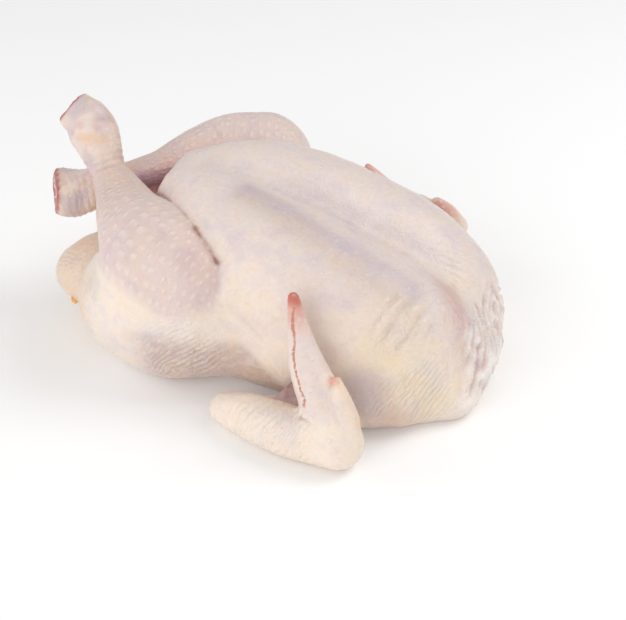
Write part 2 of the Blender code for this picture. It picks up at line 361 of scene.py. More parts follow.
@dataclass(frozen=True)
class Anatomy:
    """The muscles under the skin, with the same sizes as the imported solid."""

    breast_lobe: Muscle = Muscle(
        (
            (-76, 10, 84, 20),
            (-58, 19, 76, 30),
            (-38, 26, 66, 37),
            (-14, 29, 57, 40),
            (10, 30, 50, 38),
            (30, 30, 44, 36),
            (48, 28, 38, 31),
            (60, 24, 32, 27),
            (66, 19, 26, 18.5),
        )
    )
    rib_cage: Muscle = Muscle(
        ((-92, 0, 27, 26), (-60, 0, 34, 35), (0, 0, 33, 35), (45, 0, 28, 31), (66, 0, 21, 22.5)), 1.7
    )
    neck_skin: Muscle = Muscle(
        ((69, -45, 12, 14), (79, -38, 12, 14), (83, -20, 20, 13), (82, 0, 18, 13), (74, 30, 16, 13))
    )
    rump: Muscle = Muscle(((-70, 0, 33, 35), (-98, 0, 28, 30), (-116, -2, 26, 22)), 1.35)
    tail: Muscle = Muscle(((-118, -3, 26, 22), (-136, -4, 27, 20), (-148, -5, 26, 14)), 1.35)
    near_thigh: Muscle = Muscle(
        ((-96, -36, 35, 35.5), (-76, -44, 35, 35.5), (-57, -50, 42, 28), (-55, -53, 48, 24))
    )
    far_thigh: Muscle = Muscle(
        ((-96, 36, 35, 35.5), (-76, 45, 38, 35), (-59, 53, 52, 29), (-57, 58, 63, 25))
    )
    flank: Muscle = Muscle(((-55, 40, 29, 23), (-20, 43, 29, 26), (25, 45, 28, 29)))
    near_drumstick: Muscle = Muscle(
        (
            (-62, -54, 66, 23),
            (-74, -51.5, 71, 24.5),
            (-86.5, -46.5, 76, 24.5),
            (-100, -35.5, 79.5, 20),
            (-114, -19, 85, 14),
            (-125, -9, 93, 10),
            (-129.5, -5.8, 100.5, 10.8),
            (-135.5, -1, 111, 13.2),
            (-141, 2, 117.5, 12.2),
            (-150, 4, 124, 9),
        )
    )
    near_calf: Muscle = Muscle(((-97, -46, 76, 16), (-92.6, -54.2, 66, 17), (-88, -58, 54, 17)))
    far_drumstick: Muscle = Muscle(
        (
            (-62, 66, 76, 25),
            (-80, 62, 76, 23.5),
            (-92, 55, 76, 19.5),
            (-101, 44, 79, 14),
            (-112, 31, 79, 9.5),
            (-123, 20, 77, 9),
            (-137, 12, 73, 10),
            (-153, 5, 69, 13.5),
            (-164, 1, 70, 12),
        )
    )
    upper_wing: Muscle = Muscle(((50, -56, 18, 19), (14, -72, 9, 9.5), (-24, -84, 8, 8)))
    forearm: Muscle = Muscle(
        ((-31, -85.5, 8.5, 8.5), (-16, -91, 11, 11.5), (6, -99, 13, 13.5), (35, -102.2, 12.6, 12.8))
    )
    wing_tip: Muscle = Muscle(
        ((34.5, -102, 16.5, 12.2), (23.3, -95.3, 35, 11.3), (12, -86.5, 53, 8), (3.2, -75.8, 78, 2.8))
    )
    thumb: Muscle = Muscle(((39, -100.5, 28, 6.5), (35.5, -98, 40, 4), (32, -95.3, 48.5, 1.6)))
    far_wing_tip: Muscle = Muscle(
        ((35, 103, 17, 12.2), (26, 96, 35, 12), (12, 84, 52, 6.8), (-3, 77, 73, 2.6))
    )
    far_thumb: Muscle = Muscle(((46, 101, 30, 6), (40, 97, 42, 4), (33.5, 93, 50, 2)))
    vent: Muscle = Muscle(((-112, -3, 68, 11), (-92, -1, 58, 15), (-66, 0, 47, 14)), 1.35)
    near_cut: Cut = Cut((-150, 4, 124), (-0.82, 0.11, 0.55))
    far_cut: Cut = Cut((-164, 1, 70), (-0.85, -0.50, 0.12))

    def near_wing(self) -> tuple:
        """The four parts of the near wing."""
        return (self.upper_wing, self.forearm, self.wing_tip, self.thumb)

    def far_wing(self) -> tuple:
        """The four parts of the far wing."""
        return (
            self.upper_wing.mirrored(),
            self.forearm.mirrored(),
            self.far_wing_tip,
            self.far_thumb,
        )

    def trunk(self, points: np.ndarray) -> np.ndarray:
        """Joins the trunk, the thighs and the neck skin, with the cavity open.

        Args:
            points: Places in the bird's frame, in mm.

        Returns:
            How far each point is outside them, negative inside.
        """
        flanks = (self.flank, self.flank.mirrored())
        muscles = (self.rib_cage, self.rump, self.tail) + flanks
        muscles = muscles + (self.near_thigh, self.far_thigh, self.near_calf)
        trunk = group_distance(points, muscles, Softness.TORSO)
        trunk = blended(trunk, self.neck_skin.distance(points), Softness.NECK.value)
        return self.hollowed(points, trunk)

    def hollowed(self, points: np.ndarray, body: np.ndarray) -> np.ndarray:
        """The body without the cavity, its mouth rounded over."""
        return -blended(-body, self.vent.distance(points), Softness.VENT.value)

    def distance(self, points: np.ndarray) -> np.ndarray:
        """How far each point is outside the bird's smooth skin.

        Args:
            points: Places in the bird's frame, in mm.

        Returns:
            The distances, negative inside.
        """
        trunk = self.trunk(points)
        body = trunk
        softness = np.full(len(points), Softness.TORSO.value)
        legs = ((self.near_drumstick, self.near_cut), (self.far_drumstick, self.far_cut))
        for drumstick, cut in legs:
            leg = cut.applied(points, drumstick.distance(points))
            knee = drumstick.balls[0][:3]
            beyond_knee = away_from(points, knee, 30, 50)
            body = blended(body, leg, mix(Softness.TORSO.value, Softness.SHANK.value, beyond_knee))
            on_leg = rise(trunk - leg, -2, 6) * away_from(points, knee, 12, 28)
            softness = mix(softness, Softness.CREASE.value, on_leg)
        lobes = (self.breast_lobe, self.breast_lobe.mirrored())
        breast = self.hollowed(points, group_distance(points, lobes, Softness.KEEL))
        body = blended(body, breast, softness)
        shoulders = (self.upper_wing, self.upper_wing.mirrored())
        for wing, shoulder in zip((self.near_wing(), self.far_wing()), shoulders):
            arm = group_distance(points, wing, Softness.WING)
            beyond = away_from(points, shoulder.balls[0][:3], 25, 45)
            body = blended(body, arm, mix(Softness.TORSO.value, Softness.CREASE.value, beyond))
        return np.maximum(body, -points[:, 2])

    def slope(self, points: np.ndarray, distance: np.ndarray, step: float = 0.2) -> np.ndarray:
        """Finds the direction in which the skin distance grows.

        Args:
            points: Places in the bird's frame, in mm.
            distance: The skin distance there.
            step: How far to look along each axis, in mm.

        Returns:
            The growth along X, Y and Z at each point.
        """
        slope = np.empty_like(points)
        for axis in range(3):
            shift = np.zeros(3)
            shift[axis] = step
            slope[:, axis] = (self.distance(points + shift) - distance) / step
        return slope


@dataclass(frozen=True)
class Relief:
    """The folds, pleats and wrinkles that stand on the smooth skin.

    A pitch is the way from one fold to the next, a height or depth is how far a fold stands above
    or below the smooth skin, and both are in mm. Lines are rows of points in the bird's frame.
    """

    flank_fold: tuple = (
        (-40, -64, 66),
        (-34, -67, 57),
        (-25, -69, 49),
        (-14, -70, 38),
        (-3, -73, 25),
    )
    flank_edge: tuple = (
        (-34, -66, 64),
        (-28, -68, 57),
        (-18, -70, 48),
        (-8, -71, 37),
        (2, -72, 26),
    )
    wing_crack: tuple = (
        (4.4, -80.6, 75.6),
        (5.9, -84.8, 68.4),
        (8.6, -91.2, 58.5),
        (11.2, -96.6, 49.6),
        (15.6, -102.0, 42.2),
        (18.6, -104.8, 38.2),
        (18.3, -105.6, 33.4),
    )
    thumb_ridge: tuple = (
        (31.1, -96.3, 47.6),
        (37.3, -98.6, 40.8),
        (42, -101, 32),
        (47.2, -102.1, 24.6),
    )
    thumb_crease: tuple = (
        (30.3, -98.7, 46.7),
        (31.1, -102.7, 42.9),
        (34.4, -106.5, 37.1),
        (38.2, -108.6, 30.2),
    )
    wrist_folds: tuple = (
        ((17.5, -104.3, 31.5), (22, -107.5, 33), (27, -109.5, 32)),
        ((16.1, -104.9, 26.9), (21, -108.5, 28), (27, -110.5, 27.5)),
    )
    knee_crease: tuple = (
        (-67, -41, 94),
        (-60, -47.5, 91.5),
        (-53.5, -53, 87),
        (-48.5, -56.5, 84),
        (-44, -59.5, 80.5),
    )
    near_rings: tuple = ((-122, -12, 90), (-130, -5, 102))
    far_rings: tuple = ((-126, 18, 76), (-160, 3, 70))
    upright_spot: tuple = ((54, -54, 57), 8, 23)
    pleat_pitch: float = 4.7
    pleat_height: float = 0.45
    gather_pitch: float = 5.0
    gather_height: float = 1.7
    upright_pitch: float = 4.7
    upright_height: float = 0.6
    ring_pitch: float = 3.4
    ring_height: float = 0.26
    crumple_height: float = 0.2
    knee_depth: float = 1.3
    flank_height: float = 1.1
    flank_depth: float = 0.4
    crack_depth: float = 0.8
    wrist_depth: float = 0.7

    def pleats(self, points: np.ndarray) -> np.ndarray:
        """The shallow pleats that gather the breast skin towards the neck end.

        Args:
            points: Places on the skin, in mm.

        Returns:
            Their height at each point, in mm.
        """
        x, y, z = points.T
        turn = np.arctan2(y, x - 22) * 62
        turn = turn + 3.2 * lattice_noise(points * (1, 1, 0.45), 17, 3) + 0.05 * (z - 40)
        wave = np.sin(2 * np.pi * turn / self.pleat_pitch)
        patch = np.maximum(0.45 + 0.75 * lattice_noise(points * (1, 1, 0.5), 13, 4), 0)
        pleats = self.pleat_height * wave * patch * rise(x, 48, 70) * rise(z, 14, 40)
        return pleats + self.upright_height * self.uprights(points)

    def uprights(self, points: np.ndarray) -> np.ndarray:
        """The few upright folds low on the near lobe.

        Args:
            points: Places on the skin, in mm.

        Returns:
            1 on a fold, -1 between two, and 0 elsewhere.
        """
        run = points @ (0.85, -0.5, 0.06) + 1.6 * lattice_noise(points, 14, 16)
        wave = np.sin(2 * np.pi * run / self.upright_pitch)
        patch = close_to(points, *self.upright_spot)
        return wave * patch * (0.75 + 0.45 * lattice_noise(points, 9, 17))

    def gathers(self, points: np.ndarray) -> np.ndarray:
        """The loose upright folds that close the neck end, crumpled in places.

        Args:
            points: Places on the skin, in mm.

        Returns:
            1 on a fold, and -1 between two.
        """
        run = 0.61 * points[:, 1] - 0.79 * points[:, 2]
        run = run + 3.0 * lattice_noise(points, 15, 6) + 1.3 * lattice_noise(points, 6, 14)
        fold = 1 - 2 * np.abs(np.sin(np.pi * run / self.gather_pitch)) ** 0.7
        crumple = 1 - 3 * np.abs(lattice_noise(points * (0.7, 1, 0.8), 7, 15))
        share = np.clip(0.55 + 0.7 * lattice_noise(points, 11, 7), 0, 1)
        return mix(crumple, fold, share)

    def front(self, points: np.ndarray) -> np.ndarray:
        """1 on the closed neck end, and 0 on the breast."""
        x, y, z = points.T
        return rise(x - 0.12 * np.abs(y + 8), 76, 85) * rise(z, 4, 14)

    def under_thigh(self, points: np.ndarray) -> np.ndarray:
        """1 on the loose skin below the near thigh and the flank fold."""
        x, y, z = points.T
        under = rise(19 - 1.07 * (x + 5.3) - z, -3, 5) * rise(x, -98, -66) * rise(-x, -4, 8)
        return under * rise(-z, -46, -34) * rise(-y, 40, 55)

    def crumples(self, points: np.ndarray) -> np.ndarray:
        """Small ridges that run every way, 1 on a ridge and below 0 between them."""
        noise = lattice_noise(points, 4.2, 18) + 0.3 * lattice_noise(points, 2.4, 19)
        return 1 - 3.5 * np.abs(noise)

    def hocks(self, points: np.ndarray, anatomy: Anatomy) -> np.ndarray:
        """The knobs and hollows of both hock joints.

        Args:
            points: Places on the skin, in mm.
            anatomy: The muscles under it.

        Returns:
            Their height at each point, in mm.
        """
        lumps = 1.1 * lattice_noise(points, 9, 8) + 0.45 * lattice_noise(points, 4.5, 9)
        total = np.zeros(len(points))
        for cut in (anatomy.near_cut, anatomy.far_cut):
            total += lumps * close_to(points, cut.place, 16, 34)
        return total

    def rings(self, points: np.ndarray, anatomy: Anatomy) -> np.ndarray:
        """The rings of loose skin round both hocks.

        Args:
            points: Places on the skin, in mm.
            anatomy: The muscles under it.

        Returns:
            Their height at each point, in mm.
        """
        total = np.zeros(len(points))
        legs = ((anatomy.near_drumstick, self.near_rings), (anatomy.far_drumstick, self.far_rings))
        for leg, (start, end) in legs:
            axis = np.array(end, float) - np.array(start, float)
            length = np.linalg.norm(axis)
            along = (points - np.array(start, float)) @ axis / length
            along = along + 0.8 * lattice_noise(points, 9, 5)
            inside = rise(along, -4, 2) * rise(-along, -length - 4, -length + 2)
            close = rise(-leg.distance(points), -4, -1)
            total += np.sin(2 * np.pi * along / self.ring_pitch) * inside * close
        return self.ring_height * total

    def height(self, points: np.ndarray, anatomy: Anatomy) -> np.ndarray:
        """How far the real skin stands above the smooth one.

        Args:
            points: Places on the smooth skin, in mm.
            anatomy: The muscles under it.

        Returns:
            The height at each point, in mm.
        """
        height = 0.38 * lattice_noise(points, 24, 1) + 0.2 * lattice_noise(points, 8.5, 2)
        height += self.pleats(points) + self.rings(points, anatomy) + self.hocks(points, anatomy)
        height += self.gather_height * self.gathers(points) * self.front(points)
        height -= self.knee_depth * stroke(points, self.knee_crease[1:], 2.1)
        flank = self.flank_height * stroke(points, self.flank_fold, 2.6)
        height += flank - self.flank_depth * stroke(points, self.flank_edge, 2.0)
        height += self.crumple_height * self.crumples(points) * self.under_thigh(points)
        height -= self.crack_depth * stroke(points, self.wing_crack, 1.2)
        height -= self.wrist_depth * stroke(points, self.thumb_crease, 1.4)
        for fold in self.wrist_folds:
            height -= self.wrist_depth * stroke(points, fold, 1.3)
        return height


@dataclass
class Coat:
    """The skin's vertices while they are painted, and how far each lies on each part of the bird.

    Attributes:
        points: The vertices in the bird's frame, in mm.
        normals: Their unit normals.
        hollow: How deep each lies in a crease, from 0 to 1.
        body: The muscles under the skin.
        relief: The folds that stand on them.
        tint: The colour so far, in linear values.
        cloud, fine, spots: Noise for the broad mottling and for two finer ones.
        lobes: How far each is outside both breast lobes, in mm.
        lie: How far each is along and round its drumstick, in mm.
        rows: How far the follicles stand in rows.
        raw: How far each lies in the raw face of a cut.
        on_breast to on_front: How far each lies on that part of the bird, from 0 to 1.
    """

    points: np.ndarray
    normals: np.ndarray
    hollow: np.ndarray
    body: Anatomy
    relief: Relief = Relief()
    tint: np.ndarray = field(init=False)
    cloud: np.ndarray = field(init=False)
    fine: np.ndarray = field(init=False)
    spots: np.ndarray = field(init=False)
    lobes: np.ndarray = field(init=False)
    lie: np.ndarray = field(init=False)
    rows: np.ndarray = field(init=False)
    raw: np.ndarray = field(init=False)
    on_breast: np.ndarray = field(init=False)
    on_thigh: np.ndarray = field(init=False)
    on_legs: np.ndarray = field(init=False)
    on_knees: np.ndarray = field(init=False)
    on_wing: np.ndarray = field(init=False)
    on_front: np.ndarray = field(init=False)

    def __post_init__(self) -> None:
        """Reads the noises and the parts that can be told at once, and empties the others."""
        points, body = self.points, self.body
        self.cloud = lattice_noise(points, 22, 11)
        self.fine = lattice_noise(points, 8, 12)
        self.spots = lattice_noise(points, 5, 24)
        lobes = (body.breast_lobe, body.breast_lobe.mirrored())
        self.lobes = group_distance(points, lobes, Softness.KEEL)
        self.on_breast = rise(-self.lobes, -4, 0)
        self.on_thigh = rise(-body.near_thigh.distance(points), -4, 0)
        self.on_front = self.relief.front(points)
        self.tint = np.zeros((len(points), 3))
        self.lie = np.zeros((len(points), 3))
        self.rows = np.zeros(len(points))
        self.raw = np.zeros(len(points))
        self.on_legs = np.zeros(len(points))
        self.on_knees = np.zeros(len(points))
        self.on_wing = np.zeros(len(points))

    def lay(self, colour: tuple, share: np.ndarray) -> None:
        """Lays a screen colour over the tint, by a share for each vertex."""
        self.tint = mix(self.tint, linear(colour), np.clip(share, 0, 1)[:, None])


@dataclass(frozen=True)
class Complexion:
    """Where the skin is cream, lavender, pink or bloody, and where shade and highlights are painted
    on it.

    Colours are screen values. A spot is a place, the radius within which it is full and the radius
    at which it ends. A ripple field is the direction across its ripples, their pitch, its place,
    its reach and its strength.
    """

    cream: tuple = (243, 228, 214)
    breast_top: tuple = (230, 216, 213)
    lavender: tuple = (208, 192, 194)
    leg: tuple = (224, 203, 198)
    leg_shade: tuple = (212, 190, 190)
    # a lighter tint that paints light onto the far leg's shaded inner side
    inner_leg_painted_light: tuple = (232, 200, 198)
    shank: tuple = (220, 196, 184)
    thigh: tuple = (238, 226, 218)
    thigh_under: tuple = (214, 191, 180)
    tail: tuple = (232, 210, 190)
    hock: tuple = (236, 219, 209)
    wing: tuple = (244, 229, 215)
    hand: tuple = (231, 215, 209)
    tip: tuple = (226, 162, 142)
    blood: tuple = (186, 62, 44)
    blush: tuple = (216, 184, 176)
    bruise: tuple = (176, 140, 160)
    neck: tuple = (240, 228, 222)
    # painted highlight on the tops of the neck end's folds
    fold_top_highlight: tuple = (252, 246, 240)
    membrane: tuple = (196, 160, 164)
    web: tuple = (202, 164, 176)
    raw: tuple = (178, 128, 122)
    raw_dark: tuple = (140, 62, 56)
    # crease and deep are painted shade, laid in the skin's creases and along the knee crease
    crease: tuple = (182, 132, 122)
    deep: tuple = (150, 104, 92)
    yellow: tuple = (244, 225, 198)
    yellow_fat: tuple = (232, 178, 84)
    # tan is painted shade, in the keel valley and between the upright folds
    tan_shade: tuple = (206, 188, 172)
    amber: tuple = (232, 192, 150)

    # the keel valley between the lobes, along which painted shade is laid
    valley_shade_line: tuple = ((-39, -21, 104), (10, -36, 90), (54, -39, 70))
    # the groove down the front, painted pink and partly darker as painted shade
    groove_blush_shade_line: tuple = ((70, -16, 62), (78, -26, 53), (83, -32, 41))
    breast_fat: tuple = ((48, -60, 50), 6, 34)
    flank_fat: tuple = ((66, -66, 20), 8, 24)
    fat_speck: tuple = ((-38.1, -68.7, 61.3), 0.8, 2.4)
    breast_end: tuple = ((-22, -52, 76), 8, 26)
    shaded_calf: tuple = ((-98, -50, 78), 8, 26)
    flushed_knee: tuple = ((-54, -60, 78), 6, 20)
    hock_bruise: tuple = ((-129, -6, 121), 1, 8)
    hock_amber: tuple = ((-125.5, 1, 119), 2, 8)
    # the hollow beside the near wing, where painted shade is laid
    wing_pit_shade: tuple = ((40, -74, 26), 6, 20)
    shoulder_blush: tuple = ((56, -72, 8), 6, 20)
    ripple_fields: tuple = (
        ((0.85, -0.5, 0.0), 4.6, (52, -58, 56), 24, 0.8),
        ((0.84, -0.09, -0.54), 2.4, (66, -64, 22), 30, 0.8),
        ((0.62, -0.3, -0.72), 2.4, (-62, -78, 30), 30, 0.7),
        ((0.5, -0.5, 0.7), 2.6, (-112, -58, 54), 14, 0.8),
        ((0.93, -0.3, -0.5), 3.9, (0, -106, 12), 38, 0.6),
        ((0.0, 0.65, -0.76), 2.7, (88, -20, 36), 46, 0.4),
        ((0.1, 0.6, 0.8), 3.0, (-150, -14, 34), 20, 0.22),
    )

    def paint(self, coat: Coat) -> dict:
        """Mixes the skin's colour at each vertex, one part of the bird after another.

        Args:
            coat: The skin's vertices.

        Returns:
            One array for each Mark.
        """
        coat.tint = np.tile(linear(self.cream), (len(coat.points), 1))
        self.paint_breast(coat)
        self.paint_thigh(coat)
        self.paint_legs(coat)
        self.paint_wings(coat)
        self.paint_neck_end(coat)
        self.paint_between_legs(coat)
        self.paint_cuts(coat)
        return self.marks(coat)

    def paint_breast(self, coat: Coat) -> None:
        """Paints the breast: yellow and cream, greyer on top, with painted shade in the lavender
        valley between the lobes.
        """
        points, cloud, fine, on_breast = coat.points, coat.cloud, coat.fine, coat.on_breast
        up = coat.normals[:, 2]
        coat.lay(self.yellow, on_breast * rise(cloud - 0.4 * fine, -0.1, 0.7) * 0.6)
        coat.lay(self.breast_top, on_breast * rise(up + 0.2 * cloud, 0.1, 0.75) * 0.85)
        coat.lay(self.lavender, on_breast * rise(-cloud + 0.5 * fine, 0.1, 0.9) * 0.28)
        # Painted shade along the keel valley: tan on its near slope, and lavender in it.
        coat.lay(self.tan_shade, stroke(points + (0, 7, 0), self.valley_shade_line, 9) * 0.6)
        coat.lay(self.lavender, stroke(points, self.valley_shade_line, 7) * 0.95)
        coat.lay(self.yellow, close_to(points, *self.breast_fat) * (0.55 + 0.3 * fine))

    def paint_thigh(self, coat: Coat) -> None:
        """Paints the near thigh and the crumpled skin below it, with a painted highlight on each
        crumple's ridge.
        """
        points, relief = coat.points, coat.relief
        coat.lay(self.thigh, coat.on_thigh * 0.8)
        under = relief.under_thigh(points)
        coat.lay(self.thigh_under, under * 0.95)
        # Painted highlights: the lighter thigh colour on the ridges of the crumples.
        coat.lay(self.thigh, under * rise(relief.crumples(points), 0.2, 0.8) * 0.4)
        coat.lay(self.lavender, coat.on_thigh * rise(coat.fine, 0.2, 0.8) * 0.3)

    def paint_legs(self, coat: Coat) -> None:
        """Paints both drumsticks from the knee to the hock, and the tail below them."""
        points, cloud, fine, spots = coat.points, coat.cloud, coat.fine, coat.spots
        x, y, z = points.T
        up = coat.normals[:, 2]
        for leg in (coat.body.near_drumstick, coat.body.far_drumstick):
            away = leg.distance(points)
            on_leg = rise(-away, -7, -2) * rise(coat.lobes - away, -2.5, 0.5)
            coat.on_legs = np.maximum(coat.on_legs, on_leg)
            along, around = place_on(points, leg)
            here = away < 9
            coat.lie[here, 0], coat.lie[here, 1] = along[here], around[here]
            coat.rows = np.maximum(coat.rows, on_leg * rise(-along, -88, -58))
            knee = on_leg * rise(-along, -20, 4) * rise(up, -0.3, 0.3)
            knee = knee * rise(-leg.balls[0][1] * y, 0, 1)
            coat.on_knees = np.maximum(coat.on_knees, knee * rise(x, -66, -52))
            coat.lay(self.leg, on_leg * (0.85 + 0.15 * cloud))
            coat.lay(self.shank, on_leg * rise(along, 30, 66) * 0.8)
            coat.lay(self.hock, on_leg * rise(along, 84, 98) * 0.95)
            on_hock = on_leg * rise(along, 82, 94)
            coat.lay(self.blush, on_hock * rise(-spots, 0.0, 0.7) * 0.55)
            coat.lay(self.lavender, on_hock * rise(fine, 0.1, 0.7) * 0.75)
            coat.lay(self.amber, on_hock * rise(spots - 0.4 * fine, 0.15, 0.8) * 0.5)
        coat.lay(self.blush, coat.on_knees * 0.35)
        coat.lay(self.leg_shade, coat.on_legs * close_to(points, *self.shaded_calf) * 0.5)
        coat.lay(self.lavender, coat.on_legs * rise(fine + 0.4 * cloud, 0.1, 0.9) * 0.35)
        coat.lay(self.blush, coat.on_legs * close_to(points, *self.flushed_knee) * 0.5)
        coat.lay(self.bruise, close_to(points, *self.hock_bruise) * rise(spots, -0.5, 0.5) * 0.6)
        coat.lay(self.amber, close_to(points, *self.hock_amber) * rise(fine, -0.4, 0.4) * 0.35)
        coat.lay(self.tail, rise(-x, 112, 126) * rise(-z, -62, -50) * (1 - coat.on_legs))

    def paint_wings(self, coat: Coat) -> None:
        """Paints both wings, with their hands, thumbs and bloody tips."""
        points, relief = coat.points, coat.relief
        y, z = points[:, 1], points[:, 2]
        for wing in (coat.body.near_wing(), coat.body.far_wing()):
            arm = rise(-group_distance(points, wing, Softness.WING), -2.5, -0.5)
            arm = arm * rise(np.abs(y), 62, 76)
            coat.on_wing = np.maximum(coat.on_wing, arm)
        on_wing = coat.on_wing
        coat.lay(self.wing, on_wing)
        off_thumb = rise(line_distance(points, relief.thumb_ridge), 2, 9)
        coat.lay(self.hand, on_wing * rise(z, 26, 38) * off_thumb * 0.85)
        coat.lay(self.amber, stroke(points, relief.thumb_ridge, 3.0) * on_wing * 0.45)
        beside_crack = stroke(points - (-2.2, -2, 0), relief.wing_crack, 2.4)
        coat.lay(self.wing, beside_crack * on_wing * 0.9)
        coat.lay(self.tip, on_wing * rise(z + 1.5 * coat.cloud, 60, 76) * 0.75)
        coat.lay(self.blood, on_wing * rise(z + 1.0 * coat.fine, 73, 79) * 0.7)
        inward = rise(-coat.normals[:, 1], -0.3, 0.3)
        coat.lay(self.tip, on_wing * rise(y, 84, 88) * rise(z, 32, 46) * inward * 0.75)
        coat.lay(self.tip, on_wing * close_to(points, relief.thumb_ridge[0], 1, 5) * 0.8)

    def paint_neck_end(self, coat: Coat) -> None:
        """Paints the gathered neck end and the skin round it, with painted highlights on the fold
        tops and painted shade between the folds, in the groove and beside the wing.
        """
        points, fine, front = coat.points, coat.fine, coat.on_front
        # The groove down the front: partly pink skin, partly painted shade.
        coat.lay(self.blush, stroke(points, self.groove_blush_shade_line, 10) * 0.85)
        gathers = coat.relief.gathers(points)
        coat.lay(self.neck, front * 0.95)
        # Painted highlights on the fold tops, and painted shade in the blush colour between the
        # folds.
        coat.lay(self.fold_top_highlight, front * rise(gathers, -0.1, 0.5) * 0.9)
        coat.lay(self.blush, front * rise(-gathers, -0.1, 0.7) * 0.6)
        # Painted shade in the hollow beside the near wing.
        coat.lay(self.lavender, close_to(points, *self.wing_pit_shade) * 0.75)
        coat.lay(self.yellow, close_to(points, *self.flank_fat) * (0.6 + 0.3 * fine))
        # Painted highlights of cream on the upright folds, and painted shade of tan between them.
        uprights = coat.relief.uprights(points)
        coat.lay(self.cream, rise(uprights, 0.1, 0.7) * 0.5)
        coat.lay(self.tan_shade, rise(-uprights, 0.1, 0.7) * 0.35)
        coat.lay(self.cream, close_to(points, *self.breast_end) * 0.45)
        coat.lay(self.blush, close_to(points, *self.shoulder_blush) * 0.55)

    def paint_between_legs(self, coat: Coat) -> None:
        """Paints the mouth of the cavity, the inner side of the far leg, lit with painted light where
        it lies in shade, and a speck of fat.
        """
        points, body = coat.points, coat.body
        x, z = points[:, 0], points[:, 2]
        coat.lay(self.membrane, rise(-body.vent.distance(points), -9, -1))
        inner = body.far_drumstick.distance(points) < 5
        facing = rise(-coat.normals[:, 1] - 0.4 * coat.normals[:, 2], 0.0, 0.6)
        # Painted light: a lighter tint on the far leg's inner side, which lies in shade.
        coat.lay(self.inner_leg_painted_light, inner * facing * rise(-x, 84, 96) * rise(x, -134, -120))
        low = inner * facing * rise(84 + 3 * coat.fine - z, 0, 3)
        coat.lay(self.web, low * rise(-x, 96, 104) * rise(x, -124, -118) * 0.9)
        coat.lay(self.yellow_fat, close_to(points, *self.fat_speck) * 0.9)

    def paint_cuts(self, coat: Coat) -> None:
        """Paints both cut hocks with their bloody rims, and paints shade into the creases and along
        the knee crease.
        """
        points, hollow = coat.points, coat.hollow
        blood = np.zeros(len(points))
        for cut in (coat.body.near_cut, coat.body.far_cut):
            behind = cut.face_distance(points)
            close = close_to(points, cut.place, 15, 19)
            facing = rise(coat.normals @ cut.direction(), 0.2, 0.6)
            coat.raw = np.maximum(coat.raw, close * rise(-behind, -1.4, -0.2) * facing)
            rim = close * np.exp(-(((behind - 0.3) / 0.8) ** 2))
            blood = blood + rim * (0.4 + 0.6 * rise(coat.fine, -0.3, 0.5))
        coat.lay(self.raw, coat.raw)
        clots = lattice_noise(points, 5.5, 23)
        coat.lay(self.raw_dark, coat.raw * rise(clots, -0.1, 0.5) * 0.85)
        # Painted shade in the creases, weaker on the neck end, and along the knee crease.
        shade = 1 - 0.8 * coat.on_front
        coat.lay(self.crease, rise(hollow, 0.15, 0.7) * 0.75 * shade)
        coat.lay(self.deep, rise(hollow, 0.6, 1.0) * 0.45 * shade)
        coat.lay(self.deep, stroke(points, coat.relief.knee_crease[2:], 2.6) * 0.35)
        coat.lay(self.blood, np.clip(blood, 0, 1) * 0.8)

    def marks(self, coat: Coat) -> dict:
        """Works out what the finish reads from the vertices.

        Args:
            coat: The painted skin.

        Returns:
            One array for each Mark.
        """
        points, relief, rows = coat.points, coat.relief, coat.rows
        x, z = points[:, 0], points[:, 2]
        smooth = (1 - coat.raw) * (1 - rise(coat.hollow, 0.3, 0.7))
        specks = 0.4 * coat.on_breast + 0.7 * coat.on_wing + 0.8 * coat.on_thigh
        specks = specks + 0.9 * coat.on_knees
        wrinkles = 0.25 + 0.5 * rise(x, 40, 60) + 0.7 * coat.on_thigh * rise(-z, -46, -26)
        wrinkles = wrinkles + 0.4 * rise(-x, 112, 124)
        ripple, ripple_depth = self.ripples(points)
        waver = 1.3 * lattice_noise(points, 5.5, 26)[:, None] * (0.9, -0.3, 0)
        off_wing = 20 * (1 - coat.on_wing)
        crack = line_distance(points + waver, relief.wing_crack) + off_wing
        thumb = line_distance(points, relief.thumb_crease) + 0.35 + off_wing
        # the distance from the knee crease for its painted shade line, pushed out where the line
        # starts so that it fades in
        crease = line_distance(points, relief.knee_crease) + 1.1 * rise(-x, 50, 66)
        return {
            Mark.TINT: coat.tint,
            Mark.LIE: coat.lie,
            Mark.FOLLICLES: np.clip(rows * smooth, 0, 1),
            Mark.SPECKS: np.clip(specks * smooth * (1 - 0.8 * rows + 0.6 * coat.on_knees), 0, 1),
            Mark.WRINKLES: np.clip(wrinkles, 0, 1),
            Mark.RIPPLE: ripple,
            Mark.RIPPLE_DEPTH: ripple_depth,
            Mark.CRACK: np.minimum(np.minimum(crack, thumb), LINE_REACH),
            Mark.CREASE: np.minimum(crease, LINE_REACH),
        }

    def ripples(self, points: np.ndarray) -> tuple:
        """The fine ripples over the skin.

        Args:
            points: The vertices in the bird's frame, in mm.

        Returns:
            Their phase at each vertex, and how deep they are.
        """
        waver = 0.6 * lattice_noise(points, 11, 21) + 0.25 * lattice_noise(points, 5, 22)
        phase = np.zeros(len(points))
        best = np.zeros(len(points))
        second = np.zeros(len(points))
        for direction, pitch, place, reach, depth in self.ripple_fields:
            share = depth * close_to(points, place, 0.35 * reach, reach)
            here = share > best
            second = np.maximum(second, np.minimum(share, best))
            phase = np.where(here, points @ np.array(direction) / pitch + waver, phase)
            best = np.maximum(best, share)
        return phase, best - second


